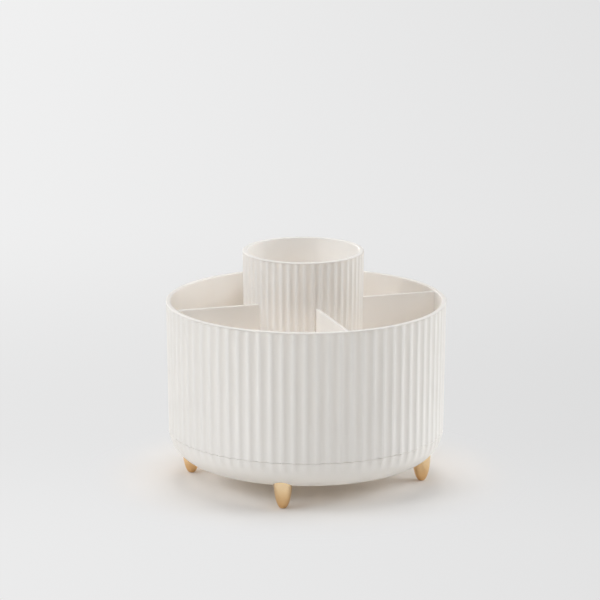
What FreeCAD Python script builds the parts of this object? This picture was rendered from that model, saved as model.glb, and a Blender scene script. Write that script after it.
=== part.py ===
"""Round rotating desk organizer: fluted bowl, off-centre cup and dividers on a footed turntable base.

Millimetres, +Z up. The origin is on the bowl's turning axis, level with the tips of the feet.
At rest the four dividers lie along +X, -X, +Y and -Y.
"""
import FreeCAD, Part, Sketcher
import math
import os
import re

from FreeCAD import Placement, Rotation, Vector

# ---------------------------------------------------------------- driving dimensions

DRIVING = [
    # the bowl
    ("outer_diameter", 150.0, "bowl across its rib crests, at the rim"),
    ("rim_height", 98.0, "bowl rim above the desk"),
    ("wall_thickness", 2.6, "bowl and tray wall, from rib crest to inside"),
    ("wall_taper", 0.0157, "how much every upright wall narrows per mm of drop"),
    ("floor_thickness", 2.4, "floors of the bowl and the tray"),
    ("rim_rounding", 0.5, "rounding along the bowl's and the cup's rim"),
    ("rim_land", 0.7, "smooth band between the flutes and the rim"),
    ("inside_rounding", 4.0, "rounding between the bowl's wall and floor"),
    ("flute_count", 76, "flutes round the bowl and the tray"),
    ("flute_depth", 0.9, "depth of a flute"),
    ("flute_crest", 1.3, "width of the crest between two flutes"),
    # the cup
    ("overall_height", 122.5, "cup rim above the desk"),
    ("cup_diameter", 65.2, "cup across its rib crests, at its rim"),
    ("cup_wall_thickness", 2.6, "cup wall, from rib crest to inside"),
    ("cup_offset_across", 2.25, "cup centre from the turning axis, along X"),
    ("cup_offset_back", 12.0, "cup centre from the turning axis, along Y"),
    ("cup_floor_thickness", 2.2, "floor of the cup"),
    ("cup_flute_count", 48, "flutes round the cup"),
    ("cup_flute_depth", 0.65, "depth of a cup flute"),
    ("cup_flute_crest", 0.95, "width of the crest between two cup flutes"),
    # the dividers
    ("divider_thickness", 1.8, "thickness of a divider"),
    ("divider_drop", 0.6, "divider top edge below the bowl's rim"),
    ("groove_depth", 0.7, "how far a divider or the cup is let into its neighbour"),
    ("groove_clearance", 0.08, "gap on each side of what sits in a groove"),
    # the base tray and its feet
    ("tray_clearance", 11.0, "underside of the tray above the desk"),
    ("tray_rounding", 18.2, "radius of the tray's curved side, seen in section"),
    ("turning_stock", 1.0, "stock left outside the tray's curved side before it is cut"),
    ("seam_gap", 0.4, "running gap between the bowl and the tray"),
    ("skirt_rise", 0.3, "bowl's lower edge above the underside of its floor"),
    ("spigot_wall", 1.8, "wall of the bowl's ring that runs inside the tray"),
    ("spigot_overlap", 2.3, "how far that ring reaches below the seam"),
    ("foot_height", 16.4, "foot from its tip to its top"),
    ("foot_diameter", 9.8, "foot at its top"),
    ("foot_tip_diameter", 3.4, "flat tip of a foot"),
    ("foot_nose_share", 0.7, "foot across the end of its nose, against its top"),
    ("foot_nose_height", 3.3, "end of a foot's nose above its tip"),
    ("foot_nose_radius", 12.0, "roundness of a foot's nose, seen in section"),
    ("foot_shoulder_share", 0.94, "foot across its shoulder, against its top"),
    ("foot_shoulder_height", 8.3, "shoulder of a foot above its tip"),
    ("foot_flank_radius", 23.0, "roundness of a foot between nose and shoulder, seen in section"),
    ("foot_inset", 11.4, "foot centre inside the tray's outer edge"),
    ("foot_right_angle", -25.0, "place of the right foot, from +X"),
    ("foot_back_angle", 65.0, "place of the back foot, from +X"),
    ("foot_left_angle", 155.0, "place of the left foot, from +X"),
    ("foot_front_angle", 241.0, "place of the front foot, from +X"),
    ("foot_boss_height", 2.2, "pad inside the tray above a foot's top"),
    ("foot_boss_margin", 2.4, "pad wall outside a foot's seat"),
    ("foot_screw_diameter", 3.0, "shank of a foot screw"),
    ("foot_screw_reach", 7.0, "depth of a foot's screw hole"),
    # the turntable
    ("ball_diameter", 5.0, "bearing ball"),
    ("ball_count", 24, "bearing balls"),
    ("race_thickness", 2.4, "turntable plate"),
    ("race_width", 18.0, "turntable plate, inner to outer edge"),
    ("race_to_foot", 2.2, "gap between the plate and the pads over the feet"),
    ("race_groove_depth", 1.0, "ball groove in a plate"),
    ("race_seat_height", 4.1, "ring on the tray's floor that carries the lower plate"),
    ("race_rib_height", 2.3, "ring under the bowl's floor that carries the upper plate"),
    ("race_rib_width", 5.4, "width of each of those rings under the bowl's floor"),
    ("cage_width", 8.0, "ball cage, inner to outer edge"),
    ("cage_thickness", 1.4, "ball cage"),
    ("rolling_clearance", 0.12, "gap between a ball and what it rolls in"),
    ("race_screw_count", 4, "screws in each plate"),
    ("race_screw_diameter", 2.4, "shank of a plate screw"),
    ("race_screw_edge", 2.8, "plate screw centre inside the plate's outer edge"),
    ("race_screw_bite", 2.6, "shank of a plate screw below its plate"),
    ("lower_race_angle", 20.0, "place of the lower plate's first screw, from +X"),
    # the pivot
    ("pin_diameter", 8.0, "pivot pin"),
    ("pin_head_diameter", 18.0, "head of the pivot pin"),
    ("pin_head_thickness", 2.0, "head of the pivot pin"),
    ("running_clearance", 0.05, "radial gap between the pin and its bush"),
    ("seat_clearance", 0.02, "radial gap of a pressed seat"),
    ("bush_wall", 2.0, "wall of the bush"),
    ("bush_flange", 1.2, "thickness of the bush's flange"),
    ("bush_flange_margin", 2.0, "flange outside the bush's wall"),
    ("hub_wall", 3.0, "wall of the bowl's hub round the bush"),
    ("hub_gap", 0.6, "gap between the bowl's hub and the tray's boss"),
    ("end_play", 0.2, "upright gap under the retaining washer"),
    ("washer_thickness", 1.0, "retaining washer"),
    ("washer_margin", 4.5, "retaining washer outside the pin"),
    ("pivot_screw_diameter", 4.0, "shank of the pivot screw"),
    ("pivot_screw_length", 10.0, "shank of the pivot screw"),
    ("screw_head_share", 1.9, "screw head across, against its shank"),
    ("screw_head_height_share", 0.55, "screw head's height, against its shank"),
    ("screw_tip_room", 1.0, "empty hole beyond a screw's tip"),
    ("thread_clearance", 0.05, "radial gap of a screw in its hole"),
    ("cup_cover_gap", 0.9, "room between the pivot screw and the cup's floor"),
]

# Sizes that follow from the driving dimensions, in the order they are worked out.
WORKED_OUT = [
    ("outer_radius", "outer_diameter / 2"),
    ("rim_inner_radius", "outer_radius - wall_thickness"),
    ("race_stack", "2 * race_thickness + ball_diameter - 2 * race_groove_depth"),
    ("tray_floor_top", "tray_clearance + floor_thickness"),
    ("lower_race_bottom", "tray_floor_top + race_seat_height"),
    ("lower_race_top", "lower_race_bottom + race_thickness"),
    ("ball_height", "lower_race_top - race_groove_depth + ball_diameter / 2"),
    ("upper_race_top", "lower_race_bottom + race_stack"),
    ("upper_race_bottom", "upper_race_top - race_thickness"),
    ("bowl_floor_bottom", "upper_race_top + race_rib_height"),
    ("bowl_floor_top", "bowl_floor_bottom + floor_thickness"),
    ("skirt_bottom", "bowl_floor_bottom + skirt_rise"),
    ("tray_top", "skirt_bottom - seam_gap"),
    ("spigot_bottom", "tray_top - spigot_overlap"),
    ("tray_radius", "outer_radius - wall_taper * (rim_height - skirt_bottom)"),
    ("tray_inner_radius", "tray_radius - wall_thickness"),
    # the tray's side is an arc that leaves the flat underside without a crease
    ("tray_turn", "sqrt(tray_rounding ^ 2 - (tray_clearance + tray_rounding - tray_top) ^ 2)"),
    ("tray_flat_radius", "tray_radius - tray_turn"),
    ("tray_inner_turn", "tray_inner_radius - tray_flat_radius"),
    ("tray_inner_rise", "tray_top - tray_floor_top"),
    ("tray_inside_rounding", "(tray_inner_turn ^ 2 + tray_inner_rise ^ 2) / (2 * tray_inner_rise)"),
    ("spigot_drop", "tray_inside_rounding - (spigot_bottom - tray_floor_top)"),
    ("spigot_radius", "tray_flat_radius + sqrt(tray_inside_rounding ^ 2 - spigot_drop ^ 2) - seam_gap"),
    ("spigot_inner_radius", "spigot_radius - spigot_wall"),
    ("rounding_top", "bowl_floor_top + inside_rounding"),
    ("rounding_radius", "rim_inner_radius - wall_taper * (rim_height - rounding_top)"),
    # flutes: each is the bite of a leaning round bar
    ("flute_width", "2 * pi * tray_radius / flute_count - flute_crest"),
    ("flute_bar_radius", "(flute_width ^ 2 / 4 + flute_depth ^ 2) / (2 * flute_depth)"),
    ("flute_bar_low", "tray_radius - flute_depth + flute_bar_radius"),
    ("flute_bar_rise", "rim_height - rim_land - skirt_bottom"),
    ("cup_radius", "cup_diameter / 2"),
    ("cup_inner_radius", "cup_radius - cup_wall_thickness"),
    ("cup_foot_height", "bowl_floor_top - groove_depth"),
    ("cup_foot_radius", "cup_radius - wall_taper * (overall_height - cup_foot_height)"),
    ("cup_flute_width", "2 * pi * cup_foot_radius / cup_flute_count - cup_flute_crest"),
    ("cup_bar_radius", "(cup_flute_width ^ 2 / 4 + cup_flute_depth ^ 2) / (2 * cup_flute_depth)"),
    ("cup_bar_low", "cup_foot_radius - cup_flute_depth + cup_bar_radius"),
    ("cup_bar_rise", "overall_height - rim_land - cup_foot_height"),
    # the pivot stack
    ("pin_radius", "pin_diameter / 2"),
    ("bush_bore", "pin_radius + running_clearance"),
    ("bush_radius", "bush_bore + bush_wall"),
    ("hub_bore", "bush_radius + seat_clearance"),
    ("hub_radius", "hub_bore + hub_wall"),
    ("tray_boss_radius", "pin_head_diameter / 2 + hub_wall"),
    ("tray_boss_top", "lower_race_top"),
    ("hub_bottom", "tray_boss_top + hub_gap"),
    ("bush_top", "bowl_floor_top + bush_flange"),
    ("pin_top", "bush_top + end_play"),
    ("washer_top", "pin_top + washer_thickness"),
    ("pivot_screw_head_radius", "pivot_screw_diameter / 2 * screw_head_share"),
    ("pivot_screw_head_height", "pivot_screw_diameter * screw_head_height_share"),
    ("pivot_screw_hole_bottom", "washer_top - pivot_screw_length - screw_tip_room"),
    ("cup_floor_bottom", "washer_top + pivot_screw_head_height + cup_cover_gap"),
    ("cup_floor_top", "cup_floor_bottom + cup_floor_thickness"),
    # the turntable plates
    ("foot_radius", "foot_diameter / 2"),
    ("foot_circle", "tray_radius - foot_inset"),
    ("foot_boss_radius", "foot_radius + groove_clearance + foot_boss_margin"),
    ("foot_boss_top", "foot_height + foot_boss_height"),
    ("foot_screw_hole_bottom", "foot_height - foot_screw_reach"),
    ("race_outer_radius", "foot_circle - foot_boss_radius - race_to_foot"),
    ("race_inner_radius", "race_outer_radius - race_width"),
    ("ball_circle", "race_outer_radius - race_width / 2"),
    ("race_groove_radius", "ball_diameter / 2 + rolling_clearance"),
    ("race_groove_half", "sqrt(race_groove_radius ^ 2 - (race_groove_radius - race_groove_depth) ^ 2)"),
    ("race_screw_circle", "race_outer_radius - race_screw_edge"),
    ("race_screw_head_radius", "race_screw_diameter / 2 * screw_head_share"),
    ("race_screw_head_height", "race_screw_diameter * screw_head_height_share"),
    ("race_screw_hole", "race_screw_diameter / 2 + thread_clearance"),
    ("race_screw_hole_depth", "race_screw_bite + thread_clearance"),
]

# Each foot's place on the foot circle, and the way each divider points: the plane it is drawn on, the
# side of the turning axis it lies on, and where the cup's centre is along and across it.
FEET = {
    "foot_right": "foot_right_angle",
    "foot_back": "foot_back_angle",
    "foot_left": "foot_left_angle",
    "foot_front": "foot_front_angle",
}
DIVIDERS = {
    "divider_right": ("XZ_Plane", 1, "cup_offset_across", "cup_offset_back"),
    "divider_back": ("YZ_Plane", 1, "cup_offset_back", "cup_offset_across"),
    "divider_left": ("XZ_Plane", -1, "-cup_offset_across", "cup_offset_back"),
    "divider_front": ("YZ_Plane", -1, "-cup_offset_back", "cup_offset_across"),
}

# The cross recess in a screw's head: its length and width against the head's radius, and its depth
# against the head's height.
RECESS_LENGTH = 1.1
RECESS_WIDTH = 0.28
RECESS_DEPTH = 0.6

document = FreeCAD.newDocument("rotating_desk_organizer")
pieces = []


def make_sheets():
    """One sheet holds the driving dimensions, and a second holds what follows from them."""
    dims = document.addObject("Spreadsheet::Sheet", "dims")
    sizes = document.addObject("Spreadsheet::Sheet", "sizes")
    for row, (name, number, meaning) in enumerate(DRIVING, start=1):
        dims.set(f"A{row}", meaning)
        dims.set(f"B{row}", str(number))
        dims.setAlias(f"B{row}", name)
    for row, (name, formula) in enumerate(WORKED_OUT, start=1):
        sizes.set(f"A{row}", name.replace("_", " "))
        sizes.set(f"B{row}", "=" + bound(formula))
        sizes.setAlias(f"B{row}", name)
    document.recompute()
    return sizes


def bound(formula):
    """The formula with each named size turned into a reference to its cell."""
    driving = {name for name, _, _ in DRIVING}
    worked_out = {name for name, _ in WORKED_OUT}

    def cell(match):
        word = match.group(0)
        if word in driving:
            return "<<dims>>." + word
        if word in worked_out:
            return "<<sizes>>." + word
        return word

    return re.sub(r"[A-Za-z_][A-Za-z_0-9]*", cell, formula)


sheet = make_sheets()


def number(formula):
    """The present value of a formula, as a plain number."""
    result = sheet.evalExpression(bound(formula))
    return float(getattr(result, "Value", result))


# ---------------------------------------------------------------- building blocks


def new_body(name):
    """A body whose label names its file."""
    body = document.addObject("PartDesign::Body", name)
    body.Label = name
    pieces.append(body)
    return body


def origin_plane(body, role):
    """One of the body's own origin planes."""
    return next(feature for feature in body.Origin.OriginFeatures if feature.Role == role)


def new_sketch(body, name, plane, shift=(None, None, None)):
    """An empty sketch on an origin plane, shifted in the plane's own axes by formulas."""
    sketch = body.newObject("Sketcher::SketchObject", name)
    sketch.AttachmentSupport = (origin_plane(body, plane), [""])
    sketch.MapMode = "FlatFace"
    for axis, formula in zip("xyz", shift):
        if formula is not None:
            sketch.setExpression(f"AttachmentOffset.Base.{axis}", bound(formula))
    return sketch


def pin_down(sketch, edge, point, across, up):
    """Dimension one point of a sketch from its origin, each way by a formula."""
    for kind, axis, formula in (("DistanceX", -2, across), ("DistanceY", -1, up)):
        if formula == "0":
            sketch.addConstraint(Sketcher.Constraint("PointOnObject", edge, point, axis))
        else:
            index = sketch.addConstraint(
                Sketcher.Constraint(kind, -1, 1, edge, point, number(formula)))
            sketch.setExpression(f"Constraints[{index}]", bound(formula))


def arc_between(start, end, radius, turns_left):
    """The short arc from start to end, as sketch geometry."""
    chord = end - start
    middle = (start + end) / 2
    rise = math.sqrt(max(radius ** 2 - (chord.Length / 2) ** 2, 0.0))
    side = Vector(-chord.y, chord.x, 0).normalize() * (rise if turns_left else -rise)
    centre = middle + side
    circle = Part.Circle(centre, Vector(0, 0, 1), radius)
    first, last = (start, end) if turns_left else (end, start)
    return Part.ArcOfCircle(circle, circle.parameter(first), circle.parameter(last))


def draw_outline(sketch, corners):
    """A closed outline. A corner is (across, up), or (across, up, radius, way) where the edge that
    leaves it is an arc that turns left or right."""
    points = [Vector(number(corner[0]), number(corner[1]), 0) for corner in corners]
    edges = []
    for index, corner in enumerate(corners):
        start = points[index]
        end = points[(index + 1) % len(points)]
        if len(corner) == 2:
            edge = sketch.addGeometry(Part.LineSegment(start, end), False)
            edges.append((edge, 1, 2))
            continue
        turns_left = corner[3] == "left"
        arc = arc_between(start, end, number(corner[2]), turns_left)
        edge = sketch.addGeometry(arc, False)
        edges.append((edge, 1, 2) if turns_left else (edge, 2, 1))
    for index, (edge, _, tail) in enumerate(edges):
        following, head, _ = edges[(index + 1) % len(edges)]
        sketch.addConstraint(Sketcher.Constraint("Coincident", edge, tail, following, head))
    for (edge, head, _), corner in zip(edges, corners):
        pin_down(sketch, edge, head, corner[0], corner[1])
        if len(corner) == 4:
            index = sketch.addConstraint(Sketcher.Constraint("Radius", edge, number(corner[2])))
            sketch.setExpression(f"Constraints[{index}]", bound(corner[2]))


def evenly(count, first_angle):
    """The angles of evenly spaced places on a ring, as formulas."""
    return [f"({first_angle} + {place} * 360 / {count})" for place in range(int(number(count)))]


def draw_circles(sketch, ring, angles, radius):
    """Equal circles on a ring about the sketch's origin, all sized by formulas."""
    for angle in angles:
        across = f"{ring} * cos({angle} * 1deg)"
        up = f"{ring} * sin({angle} * 1deg)"
        centre = Vector(number(across), number(up), 0)
        circle = Part.Circle(centre, Vector(0, 0, 1), number(radius))
        edge = sketch.addGeometry(circle, False)
        pin_down(sketch, edge, 3, across, up)
        index = sketch.addConstraint(Sketcher.Constraint("Radius", edge, number(radius)))
        sketch.setExpression(f"Constraints[{index}]", bound(radius))


def revolve(body, name, corners, shift=(None, None, None)):
    """A solid of revolution about the sketch's upright axis."""
    sketch = new_sketch(body, name + "_outline", "XZ_Plane", shift)
    draw_outline(sketch, corners)
    feature = body.newObject("PartDesign::Revolution", name)
    feature.Profile = sketch
    feature.ReferenceAxis = (sketch, ["V_Axis"])
    feature.Angle = 360
    document.recompute()
    return sketch


def cut_round(body, name, corners, shift=(None, None, None)):
    """Cut away a solid of revolution about the sketch's upright axis."""
    sketch = new_sketch(body, name + "_outline", "XZ_Plane", shift)
    draw_outline(sketch, corners)
    feature = body.newObject("PartDesign::Groove", name)
    feature.Profile = sketch
    feature.ReferenceAxis = (sketch, ["V_Axis"])
    feature.Angle = 360
    recompute_cut(body, name)


def recompute_cut(body, name):
    """Recompute after a cut, and stop if it took nothing away."""
    volume = body.Shape.Volume
    document.recompute()
    if not body.Shape.Volume < volume:
        raise RuntimeError(name + " cuts nothing")


def ring_of_holes(body, name, bottom, depth, ring, angles, radius):
    """Round holes on a ring, cut upwards from the height bottom."""
    sketch = new_sketch(body, name + "_circles", "XY_Plane", (None, None, bottom))
    draw_circles(sketch, ring, angles, radius)
    feature = body.newObject("PartDesign::Pocket", name)
    feature.Profile = sketch
    feature.Reversed = True
    feature.setExpression("Length", bound(depth))
    recompute_cut(body, name)


def ring_of_pads(body, name, bottom, height, ring, angles, radius):
    """Round pads on a ring, raised from the height bottom."""
    sketch = new_sketch(body, name + "_circles", "XY_Plane", (None, None, bottom))
    draw_circles(sketch, ring, angles, radius)
    feature = body.newObject("PartDesign::Pad", name)
    feature.Profile = sketch
    feature.setExpression("Length", bound(height))
    document.recompute()


def flutes(body, name, axis_sketch, centre, low, bar_radius, bottom, rise, count, lean):
    """Cut evenly spaced flutes with a round bar that leans outwards at the wall's own taper."""
    cutter = body.newObject("PartDesign::SubtractiveCylinder", name + "_bar")
    cutter.MapMode = "Deactivated"
    cutter.Placement = Placement(Vector(), Rotation(Vector(0, 1, 0), 1))
    cutter.setExpression("Radius", bound(bar_radius))
    cutter.setExpression("Height", bound(f"({rise}) / cos(atan({lean}))"))
    cutter.setExpression("Placement.Base.x", bound(f"{centre[0]} + {low}"))
    cutter.setExpression("Placement.Base.y", bound(centre[1]))
    cutter.setExpression("Placement.Base.z", bound(bottom))
    cutter.setExpression("Placement.Rotation.Angle", bound(f"atan({lean})"))
    pattern = body.newObject("PartDesign::PolarPattern", name)
    pattern.Originals = [cutter]
    pattern.Axis = (axis_sketch, ["V_Axis"])
    pattern.Angle = 360
    pattern.setExpression("Occurrences", bound(count))
    body.Tip = pattern
    recompute_cut(body, name)


def leaning(radius, top, height):
    """The radius of a tapered wall at a height, from its radius at its top."""
    return f"({radius} - wall_taper * (({top}) - ({height})))"


def divider_outline(side, along, across, slack):
    """The corners of an upright divider, from inside the cup's wall to inside the bowl's wall.
    slack widens the outline past the divider's own edges."""
    low = f"(bowl_floor_top - groove_depth - {slack})"
    high = f"(rim_height - divider_drop + {slack})"

    def cup_face(height):
        wall = leaning("cup_radius", "overall_height", height)
        reach = f"({wall} - cup_flute_depth - groove_depth + {slack})"
        return f"({along}) + sqrt({reach} ^ 2 - ({across}) ^ 2) - 2 * {slack}"

    def bowl_face(height):
        wall = leaning("rim_inner_radius", "rim_height", height)
        return f"{wall} + groove_depth + {slack}"

    corners = [(cup_face(low), low), (bowl_face(low), low), (bowl_face(high), high), (cup_face(high), high)]
    return [(f"{side} * ({out})", up) for out, up in corners]


def slot_for_divider(body, name, slack):
    """Cut the slot that a divider stands in."""
    plane, side, along, across = DIVIDERS[name]
    sketch = new_sketch(body, "slot_outline_" + name, plane)
    draw_outline(sketch, divider_outline(side, along, across, slack))
    feature = body.newObject("PartDesign::Pocket", "slot_" + name)
    feature.Profile = sketch
    feature.SideType = "Symmetric"
    feature.setExpression("Length", bound("divider_thickness + 2 * groove_clearance"))
    recompute_cut(body, "slot for " + name)


# ---------------------------------------------------------------- the turning part


def make_bowl():
    """The fluted bowl, with a hub, a ring for the upper plate and a ring that runs in the tray."""
    body = new_body("bowl_shell")
    outline = [
        ("hub_bore", "hub_bottom"),
        ("hub_radius", "hub_bottom"),
        ("hub_radius", "bowl_floor_bottom"),
        ("race_inner_radius", "bowl_floor_bottom"),
        ("race_inner_radius", "upper_race_top"),
        ("race_inner_radius + race_rib_width", "upper_race_top"),
        ("race_inner_radius + race_rib_width", "bowl_floor_bottom"),
        ("race_outer_radius - race_rib_width", "bowl_floor_bottom"),
        ("race_outer_radius - race_rib_width", "upper_race_top"),
        ("race_outer_radius", "upper_race_top"),
        ("race_outer_radius", "bowl_floor_bottom"),
        ("spigot_inner_radius", "bowl_floor_bottom"),
        ("spigot_inner_radius", "spigot_bottom"),
        ("spigot_radius", "spigot_bottom"),
        ("spigot_radius", "skirt_bottom"),
        ("tray_radius", "skirt_bottom"),
        (leaning("outer_radius", "rim_height", "rim_height - rim_rounding"), "rim_height - rim_rounding",
         "rim_rounding", "left"),
        ("outer_radius - rim_rounding", "rim_height"),
        ("rim_inner_radius + rim_rounding", "rim_height", "rim_rounding", "left"),
        (leaning("rim_inner_radius", "rim_height", "rim_height - rim_rounding"), "rim_height - rim_rounding"),
        ("rounding_radius", "rounding_top", "inside_rounding", "right"),
        ("rounding_radius - inside_rounding", "bowl_floor_top"),
        ("hub_bore", "bowl_floor_top"),
    ]
    axis = revolve(body, "bowl_turned", outline)
    flutes(body, "bowl_flutes", axis, ("0", "0"), "flute_bar_low", "flute_bar_radius",
           "skirt_bottom", "flute_bar_rise", "flute_count", "wall_taper")
    ring_of_holes(body, "upper_screw_holes", "upper_race_top", "race_screw_hole_depth",
                  "race_screw_circle", evenly("race_screw_count", "0"), "race_screw_hole")
    for name in DIVIDERS:
        slot_for_divider(body, name, "groove_clearance")
    seat_for_cup(body)


def seat_for_cup(body):
    """Cut the ring in the bowl's floor that the cup stands in."""
    inner = "cup_foot_radius - cup_wall_thickness - groove_clearance"
    outer = "cup_foot_radius + groove_clearance"
    above = "bowl_floor_top + groove_depth"
    cut_round(body, "cup_seat",
              [(inner, "cup_foot_height"), (outer, "cup_foot_height"), (outer, above), (inner, above)],
              ("cup_offset_across", None, "-cup_offset_back"))


def make_cup():
    """The fluted cup: its floor is raised to cover the pivot screw."""
    body = new_body("center_cup")
    inner = "cup_inner_radius"
    outline = [
        (leaning(inner, "overall_height", "cup_foot_height"), "cup_foot_height"),
        ("cup_foot_radius", "cup_foot_height"),
        (leaning("cup_radius", "overall_height", "overall_height - rim_rounding"),
         "overall_height - rim_rounding", "rim_rounding", "left"),
        ("cup_radius - rim_rounding", "overall_height"),
        (f"{inner} + rim_rounding", "overall_height", "rim_rounding", "left"),
        (leaning(inner, "overall_height", "overall_height - rim_rounding"), "overall_height - rim_rounding"),
        (leaning(inner, "overall_height", "cup_floor_top"), "cup_floor_top"),
        ("0", "cup_floor_top"),
        ("0", "cup_floor_bottom"),
        (leaning(inner, "overall_height", "cup_floor_bottom"), "cup_floor_bottom"),
    ]
    axis = revolve(body, "cup_turned", outline, ("cup_offset_across", None, "-cup_offset_back"))
    flutes(body, "cup_flutes", axis, ("cup_offset_across", "cup_offset_back"), "cup_bar_low",
           "cup_bar_radius", "cup_foot_height", "cup_bar_rise", "cup_flute_count", "wall_taper")
    for name in DIVIDERS:
        slot_for_divider(body, name, "groove_clearance")


def make_divider(name):
    """One upright wall between the cup and the bowl."""
    plane, side, along, across = DIVIDERS[name]
    body = new_body(name)
    sketch = new_sketch(body, name + "_outline", plane)
    draw_outline(sketch, divider_outline(side, along, across, "0"))
    feature = body.newObject("PartDesign::Pad", name + "_pad")
    feature.Profile = sketch
    feature.SideType = "Symmetric"
    feature.setExpression("Length", bound("divider_thickness"))
    document.recompute()


def make_bush():
    """The flanged bush pressed into the bowl's hub."""
    flange = "bush_radius + bush_flange_margin"
    revolve(new_body("pivot_bush"), "bush_turned", [
        ("bush_bore", "hub_bottom"),
        ("bush_radius", "hub_bottom"),
        ("bush_radius", "bowl_floor_top"),
        (flange, "bowl_floor_top"),
        (flange, "bush_top"),
        ("bush_bore", "bush_top"),
    ])


# ---------------------------------------------------------------- the base


def make_tray():
    """The base tray: a curved side, seats for the feet, a seat ring and a boss for the pin."""
    body = new_body("base_tray")
    stock = "tray_radius + turning_stock"
    head_seat = "pin_head_diameter / 2 + groove_clearance"
    head_top = "tray_clearance + pin_head_thickness"
    hole = "pin_radius + seat_clearance"
    feet = list(FEET.values())
    axis = revolve(body, "tray_turned", [
        (head_seat, "tray_clearance"),
        (stock, "tray_clearance"),
        (stock, "tray_top"),
        ("tray_inner_radius", "tray_top", "tray_inside_rounding", "right"),
        ("tray_flat_radius", "tray_floor_top"),
        ("race_outer_radius", "tray_floor_top"),
        ("race_outer_radius", "lower_race_bottom"),
        ("race_inner_radius", "lower_race_bottom"),
        ("race_inner_radius", "tray_floor_top"),
        ("tray_boss_radius", "tray_floor_top"),
        ("tray_boss_radius", "tray_boss_top"),
        (hole, "tray_boss_top"),
        (hole, head_top),
        (head_seat, head_top),
    ])
    ring_of_pads(body, "foot_pads_inside", "tray_clearance + floor_thickness / 2",
                 "foot_boss_top - tray_clearance - floor_thickness / 2", "foot_circle", feet,
                 "foot_boss_radius")
    outside = "tray_radius + 2 * turning_stock"
    above = "tray_top + turning_stock"
    below = "tray_clearance - turning_stock"
    cut_round(body, "tray_side", [
        ("tray_flat_radius", "tray_clearance", "tray_rounding", "left"),
        ("tray_radius", "tray_top"),
        ("tray_radius", above),
        (outside, above),
        (outside, below),
        ("tray_flat_radius", below),
    ])
    flutes(body, "tray_flutes", axis, ("0", "0"), "flute_bar_low", "flute_bar_radius",
           "tray_floor_top", "tray_top - tray_floor_top + seam_gap", "flute_count", "0")
    ring_of_holes(body, "foot_seats", "0", "foot_height", "foot_circle", feet,
                  "foot_radius + groove_clearance")
    ring_of_holes(body, "foot_screw_holes", "foot_screw_hole_bottom", "foot_boss_top", "foot_circle", feet,
                  "foot_screw_diameter / 2 + thread_clearance")
    ring_of_holes(body, "lower_screw_holes", "lower_race_bottom - race_screw_hole_depth",
                  "race_screw_hole_depth", "race_screw_circle",
                  evenly("race_screw_count", "lower_race_angle"), "race_screw_hole")


def make_foot(name):
    """A bullet-shaped foot with a blind hole for its screw, at its place on the foot circle."""
    body = new_body(name)
    hole = "foot_screw_diameter / 2 + thread_clearance"
    revolve(body, name + "_turned", [
        ("0", "0"),
        ("foot_tip_diameter / 2", "0", "foot_nose_radius", "left"),
        ("foot_radius * foot_nose_share", "foot_nose_height", "foot_flank_radius", "left"),
        ("foot_radius * foot_shoulder_share", "foot_shoulder_height"),
        ("foot_radius", "foot_height"),
        (hole, "foot_height"),
        (hole, "foot_screw_hole_bottom"),
        ("0", "foot_screw_hole_bottom"),
    ])
    body.setExpression("Placement.Base.x", bound(f"foot_circle * cos({FEET[name]} * 1deg)"))
    body.setExpression("Placement.Base.y", bound(f"foot_circle * sin({FEET[name]} * 1deg)"))
    document.recompute()


def make_race(name, bottom, groove_side):
    """A turntable plate with its ball groove on the upper or the lower face."""
    body = new_body(name)
    top = f"{bottom} + race_thickness"
    inner = "ball_circle - race_groove_half"
    outer = "ball_circle + race_groove_half"
    if groove_side == "upper":
        outline = [
            ("race_inner_radius", bottom),
            ("race_outer_radius", bottom),
            ("race_outer_radius", top),
            (outer, top, "race_groove_radius", "right"),
            (inner, top),
            ("race_inner_radius", top),
        ]
        head_bottom = f"{top} - race_screw_head_height - thread_clearance"
        first_angle = "lower_race_angle"
    else:
        outline = [
            ("race_inner_radius", bottom),
            (inner, bottom, "race_groove_radius", "right"),
            (outer, bottom),
            ("race_outer_radius", bottom),
            ("race_outer_radius", top),
            ("race_inner_radius", top),
        ]
        head_bottom = bottom
        first_angle = "0"
    angles = evenly("race_screw_count", first_angle)
    revolve(body, name + "_turned", outline)
    ring_of_holes(body, name + "_holes", bottom, "race_thickness", "race_screw_circle", angles,
                  "race_screw_hole")
    ring_of_holes(body, name + "_head_seats", head_bottom, "race_screw_head_height + thread_clearance",
                  "race_screw_circle", angles, "race_screw_head_radius + thread_clearance")


def make_cage():
    """The ring that keeps the balls apart."""
    body = new_body("ball_cage")
    low = "ball_height - cage_thickness / 2"
    high = "ball_height + cage_thickness / 2"
    inner = "ball_circle - cage_width / 2"
    outer = "ball_circle + cage_width / 2"
    revolve(body, "cage_turned", [(inner, low), (outer, low), (outer, high), (inner, high)])
    ring_of_holes(body, "ball_pockets", low, "cage_thickness", "ball_circle", evenly("ball_count", "0"),
                  "ball_diameter / 2 + rolling_clearance")


def make_pin():
    """The headed pivot pin, with a hole in its top for the pivot screw."""
    hole = "pivot_screw_diameter / 2 + thread_clearance"
    head_top = "tray_clearance + pin_head_thickness"
    revolve(new_body("pivot_pin"), "pin_turned", [
        ("0", "tray_clearance"),
        ("pin_head_diameter / 2", "tray_clearance"),
        ("pin_head_diameter / 2", head_top),
        ("pin_radius", head_top),
        ("pin_radius", "pin_top"),
        (hole, "pin_top"),
        (hole, "pivot_screw_hole_bottom"),
        ("0", "pivot_screw_hole_bottom"),
    ])


def make_washer():
    """The washer that keeps the bowl from lifting off."""
    bore = "pivot_screw_diameter / 2 + thread_clearance"
    rim = "pin_radius + washer_margin"
    revolve(new_body("pivot_washer"), "washer_turned",
            [(bore, "pin_top"), (rim, "pin_top"), (rim, "washer_top"), (bore, "washer_top")])


# ---------------------------------------------------------------- fasteners and balls


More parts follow.
